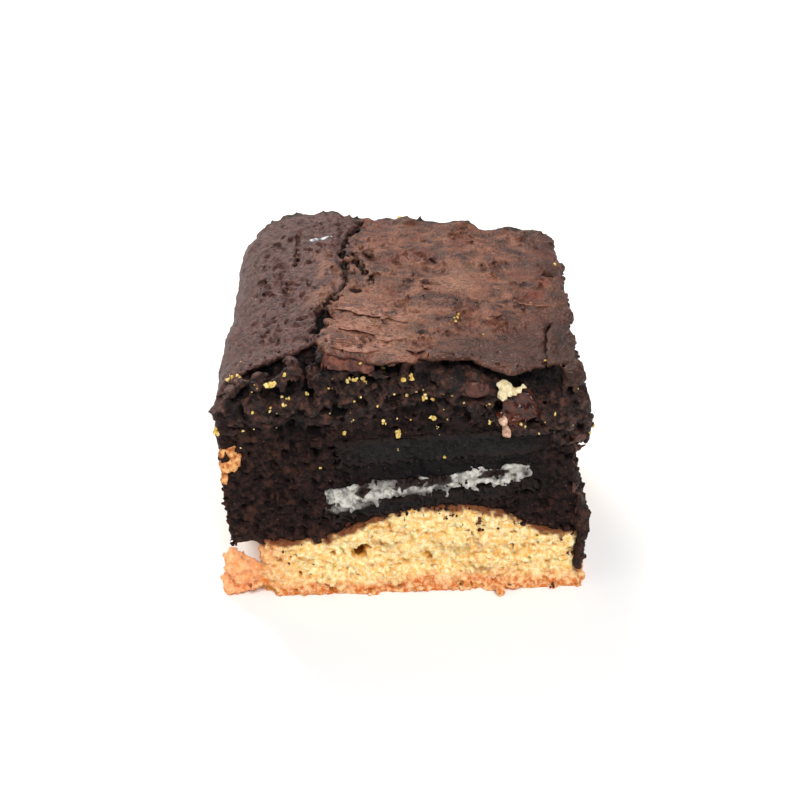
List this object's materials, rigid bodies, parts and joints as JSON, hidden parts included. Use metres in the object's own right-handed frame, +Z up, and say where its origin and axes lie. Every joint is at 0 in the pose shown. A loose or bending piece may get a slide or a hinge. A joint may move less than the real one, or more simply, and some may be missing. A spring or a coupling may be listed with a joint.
{
  "type": "chocolate brownie",
  "caption": "Cut square of layered chocolate brownie: pale baked cookie base, dark fudgy body with a crackled top crust, and a cream-filled black sandwich biscuit that shows at the front cut.",
  "frame": {"origin": "on the table under the middle of the piece, at the bottom centre of its bounding box", "axes": "+Z up, -Y out of the front cut face that shows the biscuit, +X to the right as seen from the front"},
  "size_m": [0.0694, 0.0642, 0.0509],
  "materials": {
    "cookie": "open, crumbly pale yellow baked dough, browned to orange at the bottom crust",
    "fudge": "moist dark crumb on the cut faces, papery crackled milk-brown crust on top, darker smooth crust on the pan side",
    "black_biscuit": "dry, fine-grained, charcoal black",
    "cream": "dry, crumbly greyish white sugar cream"
  },
  "bodies": {
    "root": {"cookie_base": "cookie", "brownie": "fudge", "biscuit_lower": "black_biscuit", "cream_filling": "cream", "biscuit_upper": "black_biscuit"}
  },
  "joints": []
}
